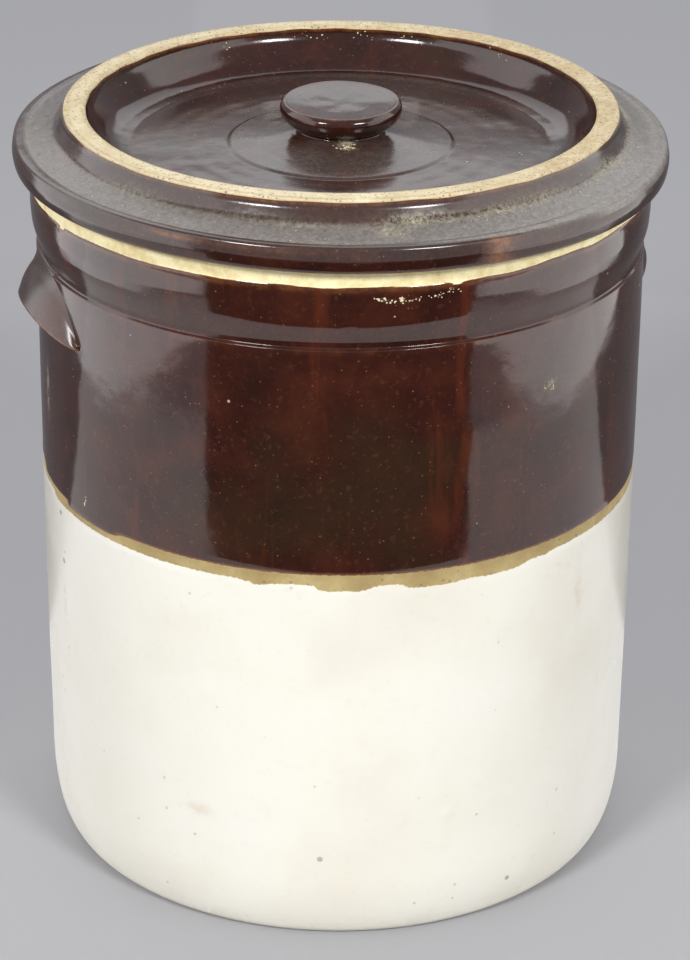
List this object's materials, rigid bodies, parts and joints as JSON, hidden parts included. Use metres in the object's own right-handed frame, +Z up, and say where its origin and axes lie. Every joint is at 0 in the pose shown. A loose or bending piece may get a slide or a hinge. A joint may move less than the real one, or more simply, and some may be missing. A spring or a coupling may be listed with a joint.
{
  "type": "lidded stoneware crock",
  "caption": "Tall two-tone glazed stoneware crock with a loose flanged lid, a mushroom knob in a sunk dish, and two crescent lug ears.",
  "frame": {"origin": "centre of the flat base, on the surface that the crock stands on", "axes": "+Z up along the axis the pot was turned on; the two ears lie along X, each swung 2.7 degrees towards +Y"},
  "size_m": [0.2916, 0.29, 0.3502],
  "materials": {
    "two_tone_stoneware": "gloss, cream-white glaze below and dark brown glaze above, parted by a narrow bare clay band",
    "brown_glaze": "gloss dark brown slip glaze",
    "lid_brown_glaze": "gloss dark brown slip glaze, bare cream clay on the ring's crown, dusty matt flange"
  },
  "bodies": {
    "crock": {"crock_body": "two_tone_stoneware", "ear_handle_left": "brown_glaze", "ear_handle_right": "brown_glaze"},
    "lid": {"lid": "lid_brown_glaze", "lid_knob": "lid_brown_glaze"}
  },
  "joints": [
    {"name": "lid_lift", "type": "slide", "parent": "crock", "child": "lid", "axis": [0, 0, 1], "range_m": [0, 0.25]}
  ]
}
